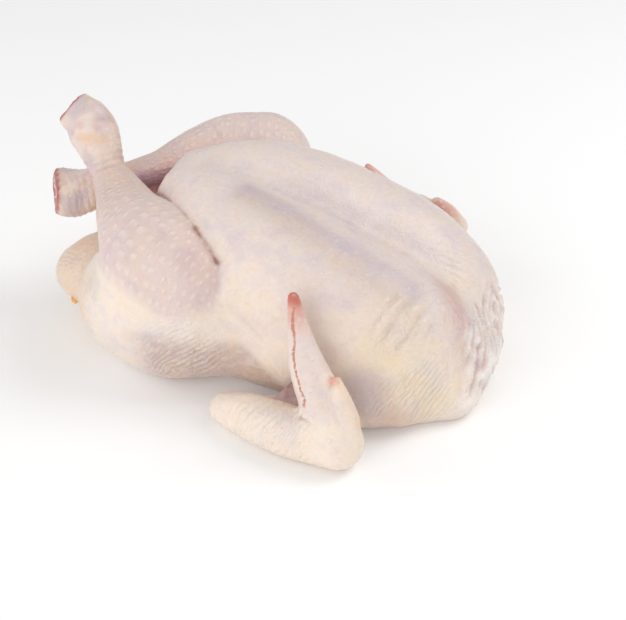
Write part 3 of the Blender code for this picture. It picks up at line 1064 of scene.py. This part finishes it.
@dataclass
class Nodes:
    """A short hand for wiring a material's nodes.

    Attributes:
        MIX_INPUTS: The share and the two colours of a node that mixes colours.
        MIX_OUTPUT: Its mixed colour.
        material: The material that holds the nodes.
        column: How many nodes it has been given.
    """

    MIX_INPUTS = (0, 6, 7)
    MIX_OUTPUT = 2

    material: bpy.types.Material
    column: int = 0

    def add(self, kind: str, **values: object) -> bpy.types.Node:
        """Adds a node and sets its fields, or its sockets where the name is a socket's.

        Args:
            kind: The node's type.
            **values: Values by field or socket name, with underscores for spaces.

        Returns:
            The new node.
        """
        node = self.material.node_tree.nodes.new(kind)
        node.location = (220 * self.column - 3000, -80 * (self.column % 5))
        self.column += 1
        for name, value in values.items():
            if hasattr(node, name):
                setattr(node, name, value)
            else:
                node.inputs[name.replace("_", " ")].default_value = value
        return node

    def join(self, start: Socket, end: Socket) -> None:
        """Links two sockets."""
        self.material.node_tree.links.new(start, end)

    def feed(self, value: object, socket: Socket) -> None:
        """Links an input to another socket, or sets it to a number or a colour.

        Args:
            value: The socket, number or colour.
            socket: The input.
        """
        if isinstance(value, Socket):
            self.join(value, socket)
        else:
            socket.default_value = value

    def maths(self, operation: str, first: object, second: object = 0.0) -> Socket:
        """Works on one or two sockets or numbers.

        Args:
            operation: What is done with them.
            first: The first socket or number.
            second: The second one, where the operation takes two.

        Returns:
            The result.
        """
        node = self.add("ShaderNodeMath", operation=operation)
        for socket, value in zip(node.inputs, (first, second)):
            self.feed(value, socket)
        return node.outputs[0]

    def plus(self, first: object, second: object) -> Socket:
        """The sum of two sockets or numbers."""
        return self.maths("ADD", first, second)

    def times(self, first: object, second: object) -> Socket:
        """The product of two sockets or numbers."""
        return self.maths("MULTIPLY", first, second)

    def ramp(self, value: Socket, low: float, high: float) -> Socket:
        """A smooth step of the value.

        Args:
            value: The value.
            low: Where the step is 0.
            high: Where the step is 1, above or below low.

        Returns:
            The step.
        """
        step = {"interpolation_type": "SMOOTHSTEP", "From_Min": low, "From_Max": high}
        node = self.add("ShaderNodeMapRange", **step)
        self.join(value, node.inputs["Value"])
        return node.outputs["Result"]

    def blend(self, share: object, first: object, second: object, mode: str = "MIX") -> Socket:
        """Mixes two colours.

        Args:
            share: How much of the second there is.
            first: The first colour.
            second: The second colour.
            mode: How the second is laid over the first.

        Returns:
            The mixed colour.
        """
        node = self.add("ShaderNodeMix", data_type="RGBA", blend_type=mode)
        for index, value in zip(self.MIX_INPUTS, (share, first, second)):
            self.feed(value, node.inputs[index])
        return node.outputs[self.MIX_OUTPUT]

    def place(self) -> Socket:
        """The point being shaded, in the piece's own frame."""
        return self.add("ShaderNodeTexCoord").outputs["Object"]

    def noise(self, place: Socket, **values: float) -> Socket:
        """The strength of a noise at a place.

        Args:
            place: The point being shaded.
            **values: The noise's sockets by name.

        Returns:
            The strength, from 0 to 1.
        """
        texture = self.add("ShaderNodeTexNoise", **values)
        self.join(place, texture.inputs["Vector"])
        return texture.outputs["Fac"]

    def dots(self, place: Socket, **values: object) -> Socket:
        """The distance from the nearest of many scattered dots.

        Args:
            place: The point being shaded.
            **values: The scatter's fields and sockets by name.

        Returns:
            The distance, as a share of the dots' pitch.
        """
        texture = self.add("ShaderNodeTexVoronoi", **values)
        self.join(place, texture.inputs["Vector"])
        return texture.outputs["Distance"]

    def bump(self, height: Socket, strength: float, distance: float) -> Socket:
        """The normal of a surface that stands out by this height.

        Args:
            height: The height, as a share of the distance.
            strength: How much of it shows.
            distance: How far it stands out, in metres.

        Returns:
            The normal.
        """
        node = self.add("ShaderNodeBump", Strength=strength, Distance=distance)
        self.join(height, node.inputs["Height"])
        return node.outputs["Normal"]

    def mark(self, mark: Mark, output: str = "Fac") -> Socket:
        """One of the skin's marks, as a number where no other output is named."""
        return self.add("ShaderNodeAttribute", attribute_name=mark.value).outputs[output]


def new_material(name: str) -> tuple:
    """A new material and its shader."""
    material = bpy.data.materials.new(name)
    material.use_nodes = True
    return material, material.node_tree.nodes["Principled BSDF"]


def set_sockets(node: bpy.types.Node, values: dict) -> None:
    """Sets a node's own sockets by their names."""
    for name, value in values.items():
        node.inputs[name].default_value = value


@dataclass(frozen=True)
class SkinLine:
    """A fine wavy line that the skin's finish draws.

    Attributes:
        mark: The mark that holds the distance from the line, in mm.
        outer: Where the line ends, in mm from its middle.
        inner: Where it is full, in mm from its middle.
        strength: How strong it is.
        colour: Its colour, in linear values.
        waver_scale: How fine its wavering is.
        waver: How far it wavers, in mm.
    """

    mark: Mark
    outer: float
    inner: float
    strength: float
    colour: tuple
    waver_scale: float = 700.0
    waver: float = 0.8

    def over(self, nodes: Nodes, place: Socket, tint: Socket) -> Socket:
        """Draws the line.

        Args:
            nodes: The material's nodes.
            place: The point being shaded.
            tint: The colour so far.

        Returns:
            The colour with the line on it.
        """
        waver = nodes.noise(place, Scale=self.waver_scale, Detail=2.0)
        shift = nodes.times(nodes.maths("SUBTRACT", waver, 0.5), self.waver)
        away = nodes.plus(nodes.mark(self.mark), shift)
        share = nodes.times(nodes.ramp(away, self.outer, self.inner), self.strength)
        return nodes.blend(share, tint, self.colour)


@dataclass(frozen=True)
class SkinFinish:
    """Pale, moist, plucked skin: mottled, dotted with feather follicles, and finely wrinkled.

    Attributes:
        warm, cool, grain, dot: The colours that the mottling and the follicles lay over the tint.
        crack, crease: The lines that are drawn on it: the crack, and painted shade along the knee
            crease.
        row_scale: How close the follicles of a row stand, for each mm.
        speck_scale to film_scale: How fine each noise is, for each metre.
        relief: How far the fine relief stands out, in metres.
        roughness, gloss_change: The usual roughness, and how far it changes from place to place.
        subsurface, depth: How much light enters the skin, and how deep, in metres.
        coat, coat_roughness: The moist film on it.
    """

    name: str = "plucked_skin"
    warm: tuple = (1.0, 0.94, 0.84, 1)
    cool: tuple = (0.87, 0.84, 0.93, 1)
    grain: tuple = (0.9, 0.84, 0.82, 1)
    dot: tuple = (0.90, 0.80, 0.70, 1)
    crack: SkinLine = SkinLine(Mark.CRACK, 1.15, 0.6, 0.8, (0.55, 0.17, 0.06, 1))
    # painted shade drawn along the knee crease
    crease: SkinLine = SkinLine(Mark.CREASE, 1.5, 0.6, 0.7, (0.36, 0.15, 0.11, 1))
    row_scale: float = 0.215
    speck_scale: float = 190.0
    mottle_scale: float = 80.0
    grain_scale: float = 380.0
    pore_scale: float = 780.0
    wrinkle_scale: float = 260.0
    film_scale: float = 45.0
    relief: float = 0.0012
    roughness: float = 0.38
    gloss_change: float = 0.14
    subsurface: float = 0.25
    depth: float = 0.005
    coat: float = 0.22
    coat_roughness: float = 0.3

    def colour(self, nodes: Nodes, place: Socket, dots: Socket) -> Socket:
        """Lays mottling, veins and pale follicle dots over the tint, then the crack and the painted
        shade along the knee crease.

        Args:
            nodes: The material's nodes.
            place: The point being shaded.
            dots: How far it lies on a follicle.

        Returns:
            The skin's colour.
        """
        tint = nodes.mark(Mark.TINT, "Color")
        mottle = nodes.noise(place, Scale=self.mottle_scale, Detail=4.0, Roughness=0.55)
        warm = nodes.ramp(mottle, 0.42, 0.72)
        cool = nodes.ramp(mottle, 0.56, 0.28)
        tint = nodes.blend(nodes.times(warm, 0.6), tint, self.warm, "MULTIPLY")
        tint = nodes.blend(nodes.times(cool, 0.55), tint, self.cool, "MULTIPLY")
        grain = nodes.noise(place, Scale=self.grain_scale, Detail=4.0, Roughness=0.6)
        grain = nodes.times(nodes.ramp(grain, 0.55, 0.3), 0.32)
        tint = nodes.blend(grain, tint, self.grain, "MULTIPLY")
        tint = nodes.blend(nodes.times(dots, 0.42), tint, self.dot)
        tint = self.crack.over(nodes, place, tint)
        # painted shade along the knee crease
        return self.crease.over(nodes, place, tint)

    def follicles(self, nodes: Nodes, place: Socket) -> Socket:
        """Raises dots: in rows on the legs, and scattered elsewhere.

        Args:
            nodes: The material's nodes.
            place: The point being shaded.

        Returns:
            How far the point lies on a follicle.
        """
        grid = {"voronoi_dimensions": "2D", "Scale": self.row_scale, "Randomness": 0.4}
        rows = nodes.ramp(nodes.dots(nodes.mark(Mark.LIE, "Vector"), **grid), 0.4, 0.08)
        rows = nodes.times(rows, nodes.mark(Mark.FOLLICLES))
        cells = nodes.dots(place, Scale=self.speck_scale, Randomness=0.8)
        specks = nodes.times(nodes.ramp(cells, 0.34, 0.12), nodes.mark(Mark.SPECKS))
        return nodes.maths("MAXIMUM", nodes.times(rows, 0.8), specks)

    def surface(self, nodes: Nodes, place: Socket, dots: Socket) -> Socket:
        """Gives the skin its follicles, ripples, wrinkles and pores.

        Args:
            nodes: The material's nodes.
            place: The point being shaded.
            dots: How far it lies on a follicle.

        Returns:
            The normal.
        """
        wrinkle = nodes.noise(place, Scale=self.wrinkle_scale, Detail=4.0, Distortion=0.9)
        pores = nodes.noise(place, Scale=self.pore_scale, Detail=3.0, Roughness=0.6)
        folds = nodes.times(wrinkle, nodes.mark(Mark.WRINKLES))
        turn = nodes.times(nodes.mark(Mark.RIPPLE), 2 * math.pi)
        wave = nodes.maths("SINE", nodes.plus(turn, nodes.times(wrinkle, 5.0)))
        wave = nodes.times(wave, nodes.mark(Mark.RIPPLE_DEPTH))
        height = nodes.plus(folds, nodes.times(dots, 0.4))
        height = nodes.plus(height, nodes.times(wave, 0.34))
        height = nodes.plus(height, nodes.times(pores, 0.36))
        return nodes.bump(height, 1.0, self.relief)

    def gloss(self, nodes: Nodes, place: Socket) -> Socket:
        """Makes the skin wetter in some places than in others.

        Args:
            nodes: The material's nodes.
            place: The point being shaded.

        Returns:
            The roughness.
        """
        film = nodes.noise(place, Scale=self.film_scale, Detail=3.0)
        dry, wet = self.roughness + self.gloss_change, self.roughness - self.gloss_change
        node = nodes.add("ShaderNodeMapRange", To_Min=dry, To_Max=wet)
        nodes.join(film, node.inputs["Value"])
        return node.outputs["Result"]

    def material(self) -> bpy.types.Material:
        """Builds the skin's material.

        Returns:
            The material.
        """
        material, shader = new_material(self.name)
        nodes = Nodes(material)
        place = nodes.place()
        dots = self.follicles(nodes, place)
        nodes.join(self.colour(nodes, place, dots), shader.inputs["Base Color"])
        nodes.join(self.surface(nodes, place, dots), shader.inputs["Normal"])
        nodes.join(self.gloss(nodes, place), shader.inputs["Roughness"])
        values = {
            "Subsurface Weight": self.subsurface,
            "Subsurface Radius": (1.0, 0.4, 0.25),
            "Subsurface Scale": self.depth,
            "Coat Weight": self.coat,
            "Coat Roughness": self.coat_roughness,
        }
        set_sockets(shader, values)
        return material


def deselect() -> None:
    """Leaves nothing selected."""
    bpy.ops.object.select_all(action="DESELECT")


def activate(piece: Piece) -> None:
    """Selects one object alone and makes it the active one."""
    deselect()
    piece.select_set(True)
    bpy.context.view_layer.objects.active = piece


def apply_modifier(piece: Piece, kind: str, **values: object) -> None:
    """Adds a modifier and applies it.

    Args:
        piece: The piece that gets it.
        kind: The modifier's type.
        **values: Its fields by name.
    """
    activate(piece)
    bpy.ops.object.modifier_add(type=kind)
    modifier = piece.modifiers[-1]
    for name, value in values.items():
        setattr(modifier, name, value)
    bpy.ops.object.modifier_apply(modifier=modifier.name)


def vertices(piece: Piece) -> np.ndarray:
    """A piece's vertices, one row of x, y and z for each, in metres."""
    flat = np.empty(len(piece.data.vertices) * 3)
    piece.data.vertices.foreach_get("co", flat)
    return flat.reshape(-1, 3)


def put_vertices(piece: Piece, points: np.ndarray) -> None:
    """Moves a piece's vertices, no further out than the solid's box.

    Args:
        piece: The piece.
        points: Where they go in the bird's frame, in mm.
    """
    low, high = np.array(CAD_BOX)
    places = np.clip((points + SHIFT) * MM, low, high)
    piece.data.vertices.foreach_set("co", places.ravel())
    piece.data.update()


def dress(piece: Piece, material: bpy.types.Material) -> None:
    """Gives a piece its finish and its body, and reports it.

    Args:
        piece: The piece.
        material: Its finish.
    """
    piece.data.materials.clear()
    piece.data.materials.append(material)
    piece.data.shade_smooth()
    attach(piece, BODY)
    LOG.info("%s: %d faces", piece.name, len(piece.data.polygons))


@dataclass
class Skin:
    """The whole skin, in one piece.

    Attributes:
        anatomy: The muscles under it.
        relief: The folds that stand on them.
        complexion: Its colours.
        finish: Its material.
        pitch: The size of its mesh, in mm.
        passes: How often it is settled on the muscles.
        step_limit: How far a vertex moves in one pass, in mm.
        least_steepness: The least squared slope that a move is worked out from.
        relief_start: How far above the flat the relief starts and is full, in mm.
        hollow_passes: How often the mesh is evened to find its creases.
        hollow_depth: How deep a crease is that counts in full, in mm.
        edges: The two ends of each edge.
    """

    anatomy: Anatomy = Anatomy()
    relief: Relief = Relief()
    complexion: Complexion = Complexion()
    finish: SkinFinish = SkinFinish()
    pitch: float = 1.5
    quick_factor: float = 1.7
    passes: int = 3
    step_limit: float = 1.6
    least_steepness: float = 0.25
    relief_start: tuple = (0.5, 5)
    hollow_passes: int = 14
    hollow_depth: float = 1.3
    edges: np.ndarray = field(init=False, repr=False, default=None)

    def copy_of_solid(self) -> Piece:
        """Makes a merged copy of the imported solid, with an even mesh of its own.

        Returns:
            The copy.
        """
        piece = bpy.data.objects.new("chicken_skin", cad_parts[NODE].data.copy())
        bpy.context.scene.collection.objects.link(piece)
        activate(piece)
        bpy.ops.object.mode_set(mode="EDIT")
        bpy.ops.mesh.select_all(action="SELECT")
        bpy.ops.mesh.remove_doubles(threshold=1e-6)
        bpy.ops.object.mode_set(mode="OBJECT")
        pitch = self.pitch * 1
        apply_modifier(piece, "REMESH", mode="VOXEL", voxel_size=pitch * MM)
        self.edges = np.empty(len(piece.data.edges) * 2, np.int32)
        piece.data.edges.foreach_get("vertices", self.edges)
        self.edges = self.edges.reshape(-1, 2)
        return piece

    def places(self, piece: Piece) -> np.ndarray:
        """The vertices in the bird's frame, in mm."""
        return vertices(piece) / MM - SHIFT

    def normals(self, piece: Piece) -> np.ndarray:
        """The vertices' unit normals."""
        flat = np.empty(len(piece.data.vertices) * 3)
        piece.data.vertex_normals.foreach_get("vector", flat)
        return flat.reshape(-1, 3)

    def evened(self, values: np.ndarray, share: float = 0.5) -> np.ndarray:
        """Moves each vertex's values towards the mean of its neighbours'.

        Args:
            values: One row for each vertex.
            share: How much of the way they move.

        Returns:
            The moved values.
        """
        total = np.empty_like(values)
        start, end = self.edges.T
        count = np.bincount(self.edges.ravel(), minlength=len(values))
        for axis in range(values.shape[1]):
            column = values[:, axis]
            total[:, axis] = np.bincount(start, column[end], len(values))
            total[:, axis] += np.bincount(end, column[start], len(values))
        return values + share * (total / count[:, None] - values)

    def settle(self, points: np.ndarray) -> np.ndarray:
        """Slides the vertices onto the blended muscles.

        Args:
            points: The vertices, in mm.

        Returns:
            Their places on the smooth skin.
        """
        for turn in range(self.passes):
            if turn < self.passes - 1:
                points = self.evened(self.evened(points))
            distance = self.anatomy.distance(points)
            slope = self.anatomy.slope(points, distance)
            steepness = np.maximum((slope**2).sum(axis=1, keepdims=True), self.least_steepness)
            move = -distance[:, None] * slope / steepness
            length = np.linalg.norm(move, axis=1, keepdims=True)
            points = points + move * np.minimum(1, self.step_limit / np.maximum(length, 1e-9))
        return points

    def hollowness(self, points: np.ndarray, normals: np.ndarray) -> np.ndarray:
        """Finds how deep each vertex lies in a crease.

        Args:
            points: The vertices, in mm.
            normals: Their unit normals.

        Returns:
            The depth, from 0 to 1.
        """
        smooth = points
        for _ in range(self.hollow_passes):
            smooth = self.evened(smooth)
        depth = ((smooth - points) * normals).sum(axis=1)
        return np.clip(depth / self.hollow_depth, 0, 1)

    def store(self, piece: Piece, marks: dict) -> None:
        """Stores the marks on the vertices.

        Args:
            piece: The skin.
            marks: One array for each Mark.
        """
        for mark, values in marks.items():
            if mark is Mark.TINT:
                layer = piece.data.color_attributes.new(mark.value, "FLOAT_COLOR", "POINT")
                colours = np.column_stack([values, np.ones(len(values))])
                layer.data.foreach_set("color", colours.ravel())
            elif mark is Mark.LIE:
                layer = piece.data.attributes.new(mark.value, "FLOAT_VECTOR", "POINT")
                layer.data.foreach_set("vector", values.ravel())
            else:
                layer = piece.data.attributes.new(mark.value, "FLOAT", "POINT")
                layer.data.foreach_set("value", values)

    def build(self) -> Piece:
        """Makes the skin, stands it for the solid, and dresses it.

        Returns:
            The finished piece.
        """
        piece = self.copy_of_solid()
        put_vertices(piece, self.settle(self.places(piece)))
        points, normals = self.places(piece), self.normals(piece)
        height = self.relief.height(points, self.anatomy) * rise(points[:, 2], *self.relief_start)
        put_vertices(piece, points + normals * height[:, None])
        points, normals = self.places(piece), self.normals(piece)
        coat = Coat(points, normals, self.hollowness(points, normals), self.anatomy, self.relief)
        self.store(piece, self.complexion.paint(coat))
        dress(piece, self.finish.material())
        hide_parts(NODE)
        return piece


@dataclass(frozen=True)
class SoftFinish:
    """Gristle, fat or a thin web of skin: one colour that turns to another in soft patches.

    Attributes:
        name: The material's name.
        first: The colour of the ground, as screen values.
        second: The colour of the patches, as screen values.
        scale: How fine the patches are, for each metre.
        relief: How far they stand out, in metres.
        roughness: The shader's roughness.
        subsurface: How much light enters it.
        depth: How deep the light goes, in metres.
    """

    name: str
    first: tuple
    second: tuple
    scale: float = 320.0
    relief: float = 0.0006
    roughness: float = 0.35
    subsurface: float = 0.3
    depth: float = 0.002

    def material(self) -> bpy.types.Material:
        """Builds the finish's material.

        Returns:
            The material.
        """
        material, shader = new_material(self.name)
        nodes = Nodes(material)
        patches = nodes.noise(nodes.place(), Scale=self.scale, Detail=4.0, Roughness=0.6)
        share = nodes.ramp(patches, 0.4, 0.62)
        first, second = (*linear(self.first), 1), (*linear(self.second), 1)
        nodes.join(nodes.blend(share, first, second), shader.inputs["Base Color"])
        nodes.join(nodes.bump(patches, 0.5, self.relief), shader.inputs["Normal"])
        values = {
            "Roughness": self.roughness,
            "Subsurface Weight": self.subsurface,
            "Subsurface Radius": (1.0, 0.45, 0.3),
            "Subsurface Scale": self.depth,
        }
        set_sockets(shader, values)
        return material


def lump(name: str, place: tuple, radii: tuple, seed: int) -> Piece:
    """A small uneven lump.

    Args:
        name: The piece's name.
        place: Its middle in the bird's frame, in mm.
        radii: Half its size along each axis, in mm.
        seed: Which unevenness it has.

    Returns:
        The lump, with its place in its mesh.
    """
    deselect()
    bpy.ops.mesh.primitive_ico_sphere_add(subdivisions=4, radius=1)
    piece = bpy.context.active_object
    piece.name = name
    ball = vertices(piece)
    bulge = 1 + 0.22 * lattice_noise(ball, 0.8, seed)
    put_vertices(piece, ball * bulge[:, None] * radii + np.array(place, float))
    return piece


@dataclass(frozen=True)
class HockEnd:
    """The bone end and gristle that show in a cut.

    Attributes:
        name: The name of its pieces, before their numbers.
        cut: The cut in which it shows.
        turn: How far its two knuckles are turned in the face of the cut, in radians.
        radius: The usual radius of a knuckle, in mm.
        spread: How far each knuckle is from the middle, in mm.
        sink: How deep both lie in the dish, in mm.
        finish: Their material.
    """

    name: str
    cut: Cut
    turn: float
    radius: float = 4.3
    spread: float = 4.6
    sink: float = 0.5
    finish: SoftFinish = SoftFinish("gristle", (226, 208, 206), (190, 110, 104))

    def build(self) -> None:
        """Makes two knuckles side by side in the dish."""
        outward = self.cut.direction()
        side = np.cross(outward, (0, 0, 1))
        side /= np.linalg.norm(side)
        above = np.cross(side, outward)
        across = math.cos(self.turn) * side + math.sin(self.turn) * above
        material = self.finish.material()
        for number, step in enumerate((-1.0, 1.0), start=1):
            place = np.array(self.cut.place) + step * self.spread * across
            place = place - (self.sink + 0.6 * self.radius) * outward
            radii = (self.radius, self.radius * 0.9, self.radius * (1 + 0.12 * step))
            dress(lump(f"{self.name}_{number}", tuple(place), radii, number), material)


@dataclass(frozen=True)
class FatBits:
    """The scraps of yellow fat that hang at the tail.

    Attributes:
        scraps: The middle of each scrap and half its size along each axis, in mm.
        seed: What the unevenness of the scraps is counted from.
        finish: Their material.
    """

    scraps: tuple = (
        ((-147.8, -23.3, 26.2), (2.6, 1.8, 3.6)),
        ((-143.6, -26.4, 18.5), (2.1, 1.6, 3.2)),
    )
    seed: int = 30
    finish: SoftFinish = SoftFinish("fat", (238, 190, 120), (222, 158, 86), 260.0)

    def build(self) -> None:
        """Makes each scrap."""
        material = self.finish.material()
        for number, (place, radii) in enumerate(self.scraps, start=1):
            dress(lump(f"fat_{number}", place, radii, number + self.seed), material)


@dataclass(frozen=True)
class SkinWeb:
    """A thin web of bare skin hung between four corners.

    Attributes:
        name: The piece's name.
        corners: The corners, in the order in which they lie.
        finish: Its material.
        thickness: How thick it is, in mm.
        sag: How far its middle hangs, in mm.
        steps: How many squares its mesh has each way.
    """

    name: str
    corners: tuple
    finish: SoftFinish
    thickness: float = 0.9
    sag: float = 2.0
    steps: int = 24

    def build(self) -> None:
        """Makes the sheet between its four corners, hung a little and given its thickness."""
        deselect()
        steps = {"x_subdivisions": self.steps, "y_subdivisions": self.steps}
        bpy.ops.mesh.primitive_grid_add(size=1, **steps)
        piece = bpy.context.active_object
        piece.name = self.name
        across, along = (vertices(piece)[:, :2] + 0.5).T
        first, second, third, fourth = (np.array(corner, float) for corner in self.corners)
        lower = first + np.outer(across, second - first)
        upper = fourth + np.outer(across, third - fourth)
        points = lower + along[:, None] * (upper - lower)
        points[:, 2] -= self.sag * 16 * across * (1 - across) * along * (1 - along)
        points += 0.3 * lattice_noise(points, 5, 41)[:, None]
        put_vertices(piece, points)
        apply_modifier(piece, "SOLIDIFY", thickness=self.thickness * MM, offset=0.0)
        dress(piece, self.finish.material())


# The wing web is real skin, darkened with painted shade under the wing.
WING_WEB = SkinWeb(
    "wing_web",
    ((-6, -90, 20), (16, -103, 27), (17, -80, 20), (8, -70, 33)),
    SoftFinish("wing_web_skin_painted_shade", (184, 154, 150), (156, 122, 122), 120.0),
)
LEG_WEB = SkinWeb(
    "leg_web",
    ((-118, 15, 56), (-92, 28, 54), (-93, 42, 76), (-127, 14, 77)),
    SoftFinish("leg_web_skin", (216, 170, 178), (188, 120, 110), 90.0),
)


@dataclass(frozen=True)
class Lamp:
    """A square lamp that faces the bird.

    Attributes:
        name: The lamp's name.
        place: Where it hangs, in metres.
        size: Its side, in metres.
        power: Its power, in watts.
    """

    name: str
    place: tuple
    size: float
    power: float

    def build(self) -> None:
        """Hangs the lamp and turns it to the bird."""
        deselect()
        bpy.ops.object.light_add(type="AREA", location=self.place)
        lamp = bpy.context.active_object
        lamp.name = self.name
        lamp.data.size = self.size
        lamp.data.energy = self.power
        lamp.rotation_mode = "QUATERNION"
        lamp.rotation_quaternion = Vector(self.place).to_track_quat("Z", "Y")


@dataclass(frozen=True)
class Studio:
    """A pale floor, soft light, and the camera at the photograph's angle.

    Attributes:
        camera_place: Where the camera stands, in metres.
        camera_aim: Which way it looks.
        lens: Its focal length, in mm.
        lamps: The lamps.
        floor_size: The floor's side, in metres.
        floor_drop: How far it lies below the bird, in metres.
        floor_colour: Its colour, in linear values.
        floor_glow: How much light it gives of its own.
        world_strength: How bright the sky is.
    """

    camera_place: tuple = (0.2763, -0.7714, 0.5449)
    camera_aim: tuple = (-0.2596, 0.7990, -0.5424)
    lens: float = 100.0
    lamps: tuple = (
        Lamp("key", (0.6, 0.25, 0.85), 0.6, 4.0),
        Lamp("fill", (-0.3, -1.3, 0.55), 1.1, 6.8),
        Lamp("side", (-1.0, -0.25, 0.5), 0.7, 2.0),
    )
    floor_size: float = 14.0
    floor_drop: float = 0.0002
    floor_colour: tuple = (0.95, 0.95, 0.95, 1.0)
    floor_glow: float = 0.08
    world_strength: float = 0.55

    def floor(self) -> None:
        """Lays a wide pale floor."""
        deselect()
        place = (0, 0, -self.floor_drop)
        bpy.ops.mesh.primitive_plane_add(size=self.floor_size, location=place)
        floor = bpy.context.active_object
        floor.name = "floor"
        material, shader = new_material("pale_floor")
        values = {
            "Base Color": self.floor_colour,
            "Roughness": 0.9,
            "Specular IOR Level": 0.1,
            "Emission Color": (1.0, 1.0, 1.0, 1.0),
            "Emission Strength": self.floor_glow,
        }
        set_sockets(shader, values)
        floor.data.materials.append(material)

    def world(self) -> None:
        """Hangs an even white sky."""
        world = bpy.data.worlds.new("soft_sky")
        world.use_nodes = True
        background = world.node_tree.nodes["Background"]
        set_sockets(background, {"Color": (1.0, 1.0, 1.0, 1.0), "Strength": self.world_strength})
        bpy.context.scene.world = world

    def camera(self) -> None:
        """Stands the camera where the photograph was taken from."""
        deselect()
        bpy.ops.object.camera_add(location=self.camera_place)
        camera = bpy.context.active_object
        camera.data.lens = self.lens
        camera.data.sensor_width = 36
        camera.data.clip_start = 0.05
        camera.data.clip_end = 50
        camera.rotation_mode = "QUATERNION"
        camera.rotation_quaternion = (-Vector(self.camera_aim)).to_track_quat("Z", "Y")
        bpy.context.scene.camera = camera

    def build(self) -> None:
        """Sets up the floor, the lamps, the sky and the camera."""
        self.floor()
        for lamp in self.lamps:
            lamp.build()
        self.world()
        self.camera()
        bpy.context.scene.view_settings.view_transform = "Standard"
        bpy.context.scene.view_settings.look = "None"


def main() -> None:
    """Builds the studio and the bird, and reports each piece."""
    logging.basicConfig(level=logging.INFO, format="%(name)s: %(message)s")
    Studio().build()
    skin = Skin()
    skin.build()
    HockEnd("near_hock_end", skin.anatomy.near_cut, 0.4).build()
    HockEnd("far_hock_end", skin.anatomy.far_cut, 1.2).build()
    FatBits().build()
    WING_WEB.build()
    LEG_WEB.build()


if __name__ == "__main__":
    main()
